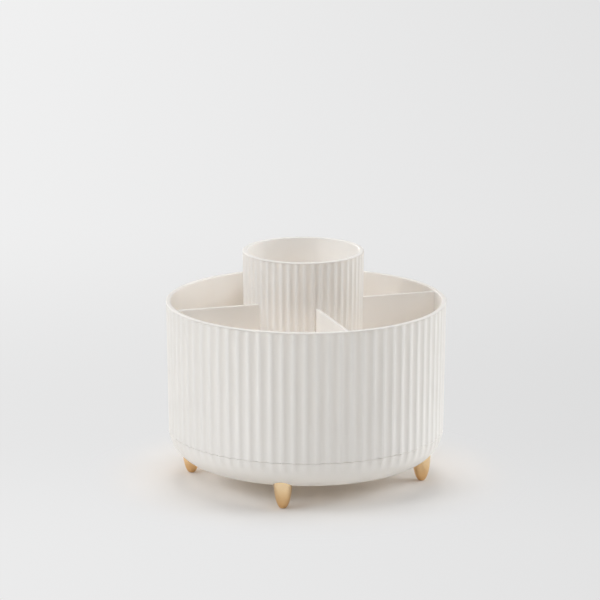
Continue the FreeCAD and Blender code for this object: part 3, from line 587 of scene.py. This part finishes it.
# Darker brown at the foot's tip: plating lost to rubbing, and painted shade
GOLD_WORN_SHADED = (0.60, 0.38, 0.17, 1.0)
GOLD_BRIGHT = (0.95, 0.78, 0.52, 1.0)
GOLD_SHADE_HEIGHT = 16.0 * MM  # over which the painted shade at the tip gives way to the pale gold
GOLD_CLOUD = (110.0, 0.3)
GOLD_RUB_AND_SHADE_SCALE = 700.0
GOLD_RUB_AND_SHADE_RANGE = (0.35, 0.6)
GOLD_SATIN = (0.16, 0.12)  # roughness, and how much rougher where it is rubbed
GOLD_SCRATCH = (0.12, 0.6)  # in colour and in relief
METAL_SCRATCH = 0.4
METAL_CLOUD_SCALE = 150.0
METAL_CRYSTAL = 0.08
ZINC_COLOUR = (0.68, 0.69, 0.70, 1.0)
ZINC_DARK = (0.52, 0.53, 0.55, 1.0)
STEEL_COLOUR = (0.75, 0.75, 0.76, 1.0)
STEEL_DARK = (0.66, 0.66, 0.67, 1.0)
ACETAL_COLOUR = (0.79, 0.79, 0.76, 1.0)
ACETAL_RUBBED_HIGHLIGHT = (0.84, 0.84, 0.82, 1.0)


def material(name):
    """An empty node material, its node helper and its surface shader."""
    made = bpy.data.materials.new(name)
    made.use_nodes = True
    made.node_tree.nodes.clear()
    nodes = Nodes(made.node_tree)
    shader = nodes.add("ShaderNodeBsdfPrincipled")
    nodes.add("ShaderNodeOutputMaterial", {"Surface": shader.outputs[0]})
    return made, nodes, shader


def noise(nodes, vector, scale, detail=3.0, roughness=0.5):
    """A noise value between 0 and 1."""
    return nodes.add("ShaderNodeTexNoise", {
        "Vector": vector, "Scale": scale, "Detail": detail, "Roughness": roughness}).outputs[0]


def attribute(nodes, name):
    """A value stored on the piece's points; zero where a piece has none."""
    return nodes.add("ShaderNodeAttribute", attribute_name=name).outputs["Fac"]


def scaled_colour(nodes, colour, amount):
    """A colour times a value."""
    return nodes.add("ShaderNodeVectorMath", {0: colour, "Scale": amount},
                     operation="SCALE").outputs[0]


def around_zero(nodes, value, amount):
    """A 0 to 1 value turned into a swing either side of zero."""
    return nodes.math("MULTIPLY", nodes.math("SUBTRACT", value, 0.5), amount)


def moulded_skin_group():
    """Shader group: moulded plastic, with faint clouds, upright flow streaks, grain, and edges polished by
    rubbing that are also painted lighter as a highlight.
    """
    nodes, given, made = new_tree("Moulded Skin", "ShaderNodeTree", [
        ("Colour", "NodeSocketColor", (0.8, 0.8, 0.8, 1.0)),
        ("Rubbed Colour", "NodeSocketColor", (0.85, 0.85, 0.85, 1.0)),
        ("Cloud", "NodeSocketFloat", 0.02),
        ("Cloud Scale", "NodeSocketFloat", 30.0),
        ("Streak", "NodeSocketFloat", 0.01),
        ("Grain Scale", "NodeSocketFloat", 3000.0),
        ("Roughness", "NodeSocketFloat", 0.45),
        ("Rubbed Roughness", "NodeSocketFloat", 0.35),
    ], [("Colour", "NodeSocketColor"), ("Roughness", "NodeSocketFloat"),
        ("Height", "NodeSocketFloat")])
    place = nodes.add("ShaderNodeTexCoord").outputs["Object"]
    drawn_out = nodes.add("ShaderNodeMapping", {"Vector": place, "Scale": STREAK_STRETCH}).outputs[0]
    cloud = around_zero(nodes, noise(nodes, place, given["Cloud Scale"]), given["Cloud"])
    streak = around_zero(nodes, noise(nodes, drawn_out, STREAK_SCALE, 2.0), given["Streak"])
    swing = nodes.math("ADD", cloud, streak)
    rub_and_light_mask = nodes.math("MULTIPLY", attribute(nodes, "wear"),
                        nodes.ramp(noise(nodes, place, RUB_AND_HIGHLIGHT_SCALE), *RUB_AND_HIGHLIGHT_RANGE))
    # Painted highlight: under the rubbing mask the colour turns to the lighter highlight colour.
    colour = nodes.mix(rub_and_light_mask, given["Colour"], given["Rubbed Colour"])
    nodes.put(made["Colour"], scaled_colour(nodes, colour, nodes.math("ADD", 1.0, swing)))
    satin = nodes.math("ADD", given["Roughness"], nodes.math("MULTIPLY", swing, SATIN_SWING))
    nodes.put(made["Roughness"], nodes.add("ShaderNodeMix", {
        0: rub_and_light_mask, 2: satin, 3: given["Rubbed Roughness"]}, data_type="FLOAT").outputs[0])
    coarse = noise(nodes, place, given["Grain Scale"], 2.0, 0.6)
    fine = noise(nodes, place, nodes.math("MULTIPLY", given["Grain Scale"], FINE_GRAIN[0]), 1.0)
    nodes.put(made["Height"], nodes.math("ADD", coarse, nodes.math("MULTIPLY", fine, FINE_GRAIN[1])))
    return nodes.tree


def handling_marks_group():
    """Shader group: soft patches where hands and cloths have polished or dulled the surface."""
    nodes, given, made = new_tree("Handling Marks", "ShaderNodeTree", [
        ("Scale", "NodeSocketFloat", 45.0),
        ("Amount", "NodeSocketFloat", 0.05),
    ], [("Roughness Change", "NodeSocketFloat")])
    place = nodes.add("ShaderNodeTexCoord").outputs["Object"]
    patch = nodes.ramp(noise(nodes, place, given["Scale"], 4.0, 0.6), *MARK_RANGE)
    wiped = nodes.add("ShaderNodeMapping", {
        "Vector": place, "Rotation": MARK_TURN, "Scale": MARK_STRETCH}).outputs[0]
    strokes = noise(nodes, wiped, nodes.math("MULTIPLY", given["Scale"], MARK_STROKES), 2.0)
    both = nodes.math("MULTIPLY", patch, nodes.math("ADD", 0.5, strokes))
    change = nodes.math("MULTIPLY", nodes.math("SUBTRACT", both, MARK_MIDDLE), given["Amount"])
    nodes.put(made["Roughness Change"], change)
    return nodes.tree


def fine_scratches_group():
    """Shader group: sparse hair-thin scratches in two directions."""
    nodes, given, made = new_tree("Fine Scratches", "ShaderNodeTree", [
        ("Scale", "NodeSocketFloat", 400.0),
        ("Width", "NodeSocketFloat", 0.03),
    ], [("Mask", "NodeSocketFloat")])
    place = nodes.add("ShaderNodeTexCoord").outputs["Object"]
    masks = []
    for turn, stretch in SCRATCH_WAYS:
        along = nodes.add("ShaderNodeMapping", {
            "Vector": place, "Rotation": turn, "Scale": stretch}).outputs[0]
        cell = nodes.add("ShaderNodeTexVoronoi", {"Vector": along, "Scale": given["Scale"]},
                         feature="DISTANCE_TO_EDGE").outputs["Distance"]
        line = nodes.math("LESS_THAN", cell, given["Width"])
        patch = nodes.ramp(noise(nodes, place, SCRATCH_SCALE), *SCRATCH_RANGE)
        masks.append(nodes.math("MULTIPLY", line, patch))
    nodes.put(made["Mask"], nodes.math("MAXIMUM", *masks))
    return nodes.tree


def tool_lines_group():
    """Shader group: the closely spaced lines a lathe or a brush leaves along one coordinate."""
    nodes, given, made = new_tree("Tool Lines", "ShaderNodeTree", [
        ("Along", "NodeSocketFloat", 0.0),
        ("Lines per Metre", "NodeSocketFloat", 5000.0),
    ], [("Height", "NodeSocketFloat")])
    place = nodes.add("ShaderNodeTexCoord").outputs["Object"]
    wander = nodes.math("MULTIPLY", noise(nodes, place, LINE_WANDER_SCALE), LINE_WANDER)
    at = nodes.math("MULTIPLY", nodes.math("ADD", given["Along"], wander), given["Lines per Metre"])
    lines = nodes.add("ShaderNodeTexNoise", {"W": at, "Scale": 1.0, "Detail": 2.0},
                      noise_dimensions="1D")
    nodes.put(made["Height"], lines.outputs[0])
    return nodes.tree


def use_group(nodes, tree, **values):
    """A shared group placed in a material with its own values."""
    node = nodes.add("ShaderNodeGroup", node_tree=tree)
    for key, value in values.items():
        nodes.put(node.inputs[key.replace("_", " ")], value)
    return node.outputs


def bump(nodes, shader, height, strength):
    """Feed a height into the surface's normal."""
    bumped = nodes.add("ShaderNodeBump", {
        "Height": height, "Strength": strength, "Distance": BUMP_DISTANCE})
    nodes.put(shader.inputs["Normal"], bumped.outputs[0])


def ivory_plastic():
    """Satin off-white plastic."""
    made, nodes, shader = material("ivory_plastic_finish")
    skin = use_group(nodes, MOULDED_SKIN, Colour=IVORY_COLOUR, Rubbed_Colour=IVORY_RUBBED_HIGHLIGHT,
                     Cloud=0.022, Cloud_Scale=22.0, Streak=0.012, Grain_Scale=2600.0,
                     Roughness=0.46, Rubbed_Roughness=0.36)
    marks = use_group(nodes, HANDLING_MARKS, Scale=28.0, Amount=0.06)
    nodes.put(shader.inputs["Base Color"], skin["Colour"])
    nodes.put(shader.inputs["Roughness"], nodes.math("ADD", skin["Roughness"], marks["Roughness Change"]))
    bump(nodes, shader, skin["Height"], 0.06)
    shader.inputs["IOR"].default_value = 1.46
    shader.inputs["Subsurface Weight"].default_value = 0.35
    shader.inputs["Subsurface Radius"].default_value = (1.0, 1.0, 1.0)
    shader.inputs["Subsurface Scale"].default_value = 1.1 * MM
    return made


def gold_plate():
    """Pale gold plating on turned feet, with lathe lines round each foot. Painted shade darkens the gold
    towards the tip, and the tip's darker brown is both rubbing and painted shade.
    """
    made, nodes, shader = material("gold_plate_finish")
    place = nodes.add("ShaderNodeTexCoord").outputs["Object"]
    height = nodes.add("ShaderNodeSeparateXYZ", {0: place}).outputs["Z"]
    marks = use_group(nodes, HANDLING_MARKS, Scale=90.0, Amount=0.08)
    scratches = use_group(nodes, FINE_SCRATCHES, Scale=900.0, Width=0.015)["Mask"]
    lines = use_group(nodes, TOOL_LINES, Along=height, Lines_per_Metre=9000.0)["Height"]
    rub_and_light_mask = nodes.math("MULTIPLY", attribute(nodes, "wear"),
                        nodes.ramp(noise(nodes, place, GOLD_RUB_AND_SHADE_SCALE), *GOLD_RUB_AND_SHADE_RANGE))
    cloud = around_zero(nodes, noise(nodes, place, GOLD_CLOUD[0]), GOLD_CLOUD[1])
    # Painted shade: the gold darkens towards the tip over the foot's height, with random clouds in its
    # tone.
    tip_shade_and_cloud = nodes.math("ADD", nodes.ramp(height, 0.0, GOLD_SHADE_HEIGHT), cloud)
    gold_with_tip_shade = nodes.mix(tip_shade_and_cloud, GOLD_PAINTED_SHADE, GOLD_PALE)
    # Rubbing and painted shade: the tip turns darker brown under the rubbing mask.
    worn_and_painted = nodes.mix(rub_and_light_mask, gold_with_tip_shade, GOLD_WORN_SHADED)
    scratched = nodes.mix(nodes.math("MULTIPLY", scratches, GOLD_SCRATCH[0]), worn_and_painted, GOLD_BRIGHT)
    nodes.put(shader.inputs["Base Color"], scratched)
    satin = nodes.math("ADD", nodes.math("ADD", GOLD_SATIN[0], marks["Roughness Change"]),
                       nodes.math("MULTIPLY", rub_and_light_mask, GOLD_SATIN[1]))
    nodes.put(shader.inputs["Roughness"], satin)
    relief = nodes.math("SUBTRACT", lines, nodes.math("MULTIPLY", scratches, GOLD_SCRATCH[1]))
    bump(nodes, shader, relief, 0.012)
    shader.inputs["Metallic"].default_value = 1.0
    return made


def turntable_metal(name, colour, dark, roughness, grain_scale, line_strength):
    """A metal of the turntable: clouded, smudged and scratched, with tool lines round the axis."""
    made, nodes, shader = material(name)
    place = nodes.add("ShaderNodeTexCoord").outputs["Object"]
    flat = nodes.vector("MULTIPLY", place, (1.0, 1.0, 0.0))[0]
    radius = nodes.vector("LENGTH", flat)["Value"]
    lines = use_group(nodes, TOOL_LINES, Along=radius, Lines_per_Metre=6000.0)["Height"]
    marks = use_group(nodes, HANDLING_MARKS, Scale=110.0, Amount=0.14)
    scratches = use_group(nodes, FINE_SCRATCHES, Scale=500.0, Width=0.02)["Mask"]
    cells = nodes.add("ShaderNodeTexVoronoi", {"Vector": place, "Scale": grain_scale}).outputs["Color"]
    crystal = nodes.add("ShaderNodeSeparateXYZ", {0: cells}).outputs["X"]
    cloud = nodes.math("MULTIPLY", nodes.math("ADD", crystal, noise(nodes, place, METAL_CLOUD_SCALE)), 0.5)
    shade = nodes.mix(cloud, dark, colour)
    scratched = nodes.mix(nodes.math("MULTIPLY", scratches, METAL_SCRATCH), shade, colour)
    nodes.put(shader.inputs["Base Color"], scratched)
    satin = nodes.math("ADD", nodes.math("ADD", roughness, marks["Roughness Change"]),
                       around_zero(nodes, crystal, METAL_CRYSTAL))
    nodes.put(shader.inputs["Roughness"], satin)
    bump(nodes, shader, nodes.math("SUBTRACT", lines, scratches), line_strength)
    shader.inputs["Metallic"].default_value = 1.0
    return made


def acetal():
    """Milky bearing plastic."""
    made, nodes, shader = material("acetal_finish")
    skin = use_group(nodes, MOULDED_SKIN, Colour=ACETAL_COLOUR, Rubbed_Colour=ACETAL_RUBBED_HIGHLIGHT,
                     Cloud=0.05, Cloud_Scale=90.0, Streak=0.0, Grain_Scale=2000.0,
                     Roughness=0.36, Rubbed_Roughness=0.3)
    marks = use_group(nodes, HANDLING_MARKS, Scale=80.0, Amount=0.08)
    nodes.put(shader.inputs["Base Color"], skin["Colour"])
    nodes.put(shader.inputs["Roughness"], nodes.math("ADD", skin["Roughness"], marks["Roughness Change"]))
    bump(nodes, shader, skin["Height"], 0.04)
    return made


# ---------------------------------------------------------------- stage, lamps and camera

CAMERA_AZIMUTH = math.radians(-107.77)
CAMERA_REACH = 2.183
CAMERA_HEIGHT = 0.6222
CAMERA_PITCH = 0.2358
CAMERA_YAW = -0.0015
CAMERA_CLIP = (0.05, 50.0)
FOCAL_PIXELS = 4200
FRAME_PIXELS = 600
SENSOR = 36.0

FLOOR_HALF = 12.0
FLOOR_COLOUR = (0.86, 0.835, 0.80, 1.0)
FLOOR_BEHIND = (-0.02, 0.2)  # metres behind the axis over which the floor becomes backdrop
FLOOR_AROUND = (0.06, 0.12)  # and metres from the axis in the other directions
BACKDROP_TINT = (1.0, 1.0, 1.002, 1.0)
BACKDROP_SIDE_LIGHT = (-0.45, 0.45, 0.885, 0.757)  # metres to the left and right, and the levels there: painted light, brighter on the left
# A painted shadow band on the backdrop around the object's depth: it darkens over the first span and
# brightens again over the second.
BACKDROP_SHADOW_NEAR = (-0.14, 0.1, 0.975, 0.93)  # metres behind the axis, and the levels there
BACKDROP_SHADOW_FAR = (0.15, 0.65, 0.93, 1.0)
CEILING = (0.08, 0.16, 1.0, 0.23)  # slopes over which the world darkens, and its levels there

LAMP_REACH = 2.2
LAMP_LIFT = 0.03
LAMP_SIZE = 0.8
LAMP_TARGET = Vector((0, 0, 0.06))
LAMPS = [
    # name, degrees to the right of the viewer, degrees up, watts, colour
    ("left_back_low", -150, 10, 10.3, (0.99, 0.955, 0.925)),
    ("left_back", -150, 30, 7.6, (0.985, 0.92, 0.87)),
    ("back", 180, 55, 7.8, (1.0, 0.93, 0.89)),
    ("left_front", -60, 30, 12.0, (0.88, 0.94, 1.0)),
    ("left", -90, 30, 13.0, (0.935, 0.96, 1.0)),
    ("front", 0, 30, 6.3, (0.95, 0.96, 1.0)),
    ("front_right", 30, 30, 4.7, (0.97, 0.965, 0.98)),
    ("right", 90, 30, 12.9, (0.88, 0.935, 1.0)),
    ("right_back", 120, 30, 6.4, (0.88, 0.94, 1.0)),
    ("right_back_low", 120, 10, 11.9, (0.98, 0.988, 1.0)),
    ("top", 0, 90, 9.4, (1.0, 0.96, 0.91)),
]


def from_camera(right, away, up):
    """A point given to the camera's right, away from it past the axis, and up."""
    turn = CAMERA_AZIMUTH + math.pi / 2
    return Vector((right * math.cos(turn) - away * math.sin(turn),
                   right * math.sin(turn) + away * math.cos(turn), up))


def make_camera():
    """The camera, at its height and distance from the axis."""
    lens = bpy.data.cameras.new("camera")
    lens.sensor_width = SENSOR
    lens.lens = FOCAL_PIXELS / FRAME_PIXELS * SENSOR
    lens.clip_start, lens.clip_end = CAMERA_CLIP
    camera = add_object("camera", lens)
    camera.location = from_camera(0, -CAMERA_REACH, CAMERA_HEIGHT)
    heading = CAMERA_AZIMUTH + math.pi / 2 - CAMERA_YAW
    camera.rotation_euler = (math.pi / 2 - CAMERA_PITCH, 0, heading)
    bpy.context.scene.camera = camera


def make_lamps():
    """Square soft lamps all round, each looking at the object."""
    for name, around, above, power, colour in LAMPS:
        around, above = math.radians(around), math.radians(above)
        level = LAMP_REACH * math.cos(above)
        spot = from_camera(level * math.sin(around), -level * math.cos(around),
                           LAMP_REACH * math.sin(above) + LAMP_LIFT)
        light = bpy.data.lights.new(name, "AREA")
        light.size = LAMP_SIZE
        light.energy = power
        light.color = colour
        lamp = add_object(name, light)
        lamp.location = spot
        lamp.rotation_euler = (LAMP_TARGET - spot).to_track_quat("-Z", "Y").to_euler()
        lamp.visible_camera = False


def backdrop_level(nodes, place):
    """The backdrop's brightness at a place: painted light, a little higher on one side, with a painted
    shadow band near the object.
    """
    backward = nodes.vector("DOT_PRODUCT", place, from_camera(0, 1, 0))["Value"]
    rightward = nodes.vector("DOT_PRODUCT", place, from_camera(1, 0, 0))["Value"]
    # Painted shadow band near the object.
    painted_shadow_band = nodes.math("MAXIMUM", nodes.ramp(backward, *BACKDROP_SHADOW_NEAR), nodes.ramp(backward, *BACKDROP_SHADOW_FAR))
    return nodes.math("MULTIPLY", nodes.ramp(rightward, *BACKDROP_SIDE_LIGHT), painted_shadow_band)


def seen_ray(nodes):
    """One for the rays that show the backdrop: from the camera, off gloss and through glass."""
    path = nodes.add("ShaderNodeLightPath").outputs
    indirect = nodes.math("MAXIMUM", path["Is Glossy Ray"], path["Is Transmission Ray"])
    return nodes.math("MAXIMUM", path["Is Camera Ray"], indirect)


def make_world():
    """A world that lights nothing and shows the backdrop, darker above, to the camera and to gloss."""
    world = bpy.data.worlds.new("studio")
    bpy.context.scene.world = world
    world.use_nodes = True
    world.cycles.sampling_method = "NONE"
    world.node_tree.nodes.clear()
    nodes = Nodes(world.node_tree)
    towards = nodes.add("ShaderNodeTexCoord").outputs["Generated"]
    place = nodes.vector("MULTIPLY", towards, (FLOOR_HALF, FLOOR_HALF, FLOOR_HALF))[0]
    slope = nodes.add("ShaderNodeSeparateXYZ", {0: towards}).outputs["Z"]
    # The backdrop's painted side light and painted shadow band, darker above.
    level = nodes.math("MULTIPLY", backdrop_level(nodes, place), nodes.ramp(slope, *CEILING))
    backdrop = nodes.add("ShaderNodeBackground", {
        "Color": BACKDROP_TINT, "Strength": nodes.math("MULTIPLY", seen_ray(nodes), level)})
    nodes.add("ShaderNodeOutputWorld", {"Surface": backdrop.outputs[0]})


def make_floor():
    """A plain pale floor that keeps the object's shadow, and away from it glows as the backdrop, with the
    backdrop's painted side light and painted shadow band.
    """
    mesh = bpy.data.meshes.new("floor")
    half = FLOOR_HALF
    mesh.from_pydata([(-half, -half, 0), (half, -half, 0), (half, half, 0), (-half, half, 0)],
                     [], [(0, 1, 2, 3)])
    floor = add_object("floor", mesh)
    made, nodes, shader = material("pale_floor")
    shader.inputs["Base Color"].default_value = FLOOR_COLOUR
    shader.inputs["Roughness"].default_value = 0.9
    shader.inputs["Specular IOR Level"].default_value = 0.2
    place = nodes.add("ShaderNodeTexCoord").outputs["Object"]
    backward = nodes.vector("DOT_PRODUCT", place, from_camera(0, 1, 0))["Value"]
    away = nodes.vector("LENGTH", place)["Value"]
    far = nodes.math("MAXIMUM", nodes.ramp(backward, *FLOOR_BEHIND), nodes.ramp(away, *FLOOR_AROUND))
    # The glow carries the backdrop's painted side light and painted shadow band.
    glow = nodes.add("ShaderNodeEmission", {
        "Color": BACKDROP_TINT, "Strength": backdrop_level(nodes, place)})
    both = nodes.add("ShaderNodeMixShader", {
        0: nodes.math("MULTIPLY", far, seen_ray(nodes)), 1: shader.outputs[0], 2: glow.outputs[0]})
    output = next(node for node in made.node_tree.nodes if node.type == "OUTPUT_MATERIAL")
    nodes.put(output.inputs["Surface"], both.outputs[0])
    mesh.materials.append(made)


# ---------------------------------------------------------------- put it together

SHELL_TREE = fluted_shell_tree()
MOULDED_SKIN = moulded_skin_group()
HANDLING_MARKS = handling_marks_group()
FINE_SCRATCHES = fine_scratches_group()
TOOL_LINES = tool_lines_group()
IVORY = ivory_plastic()
GOLD = gold_plate()
ZINC = turntable_metal("zinc_finish", ZINC_COLOUR, ZINC_DARK,
                       roughness=0.36, grain_scale=380.0, line_strength=0.08)
BALL_STEEL = turntable_metal("ball_steel_finish", STEEL_COLOUR, STEEL_DARK,
                             roughness=0.14, grain_scale=900.0, line_strength=0.01)
ACETAL = acetal()
INSIDE_FINISHES = {
    "foot_screws": ZINC, "lower_race": ZINC, "lower_race_screws": ZINC,
    "pivot_washer": ZINC, "pivot_screw": ZINC, "upper_race": ZINC, "upper_race_screws": ZINC,
    "bearing_balls": BALL_STEEL, "ball_cage": ACETAL, "pivot_bush": ACETAL,
}

make_bowl(IVORY)
make_cup(IVORY)
make_tray(IVORY)
make_feet(GOLD)
make_pin(ZINC)
make_dividers(IVORY)
for node_name, finish in INSIDE_FINISHES.items():
    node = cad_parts[node_name]
    node.data.materials.clear()
    node.data.materials.append(finish)
make_floor()
make_world()
make_lamps()
make_camera()

# Light reaches the deep pale compartments only after many bounces.
DIFFUSE_BOUNCES = 12
ALL_BOUNCES = 16
bpy.context.scene.view_settings.view_transform = "Standard"
bpy.context.scene.cycles.diffuse_bounces = DIFFUSE_BOUNCES
bpy.context.scene.cycles.max_bounces = ALL_BOUNCES
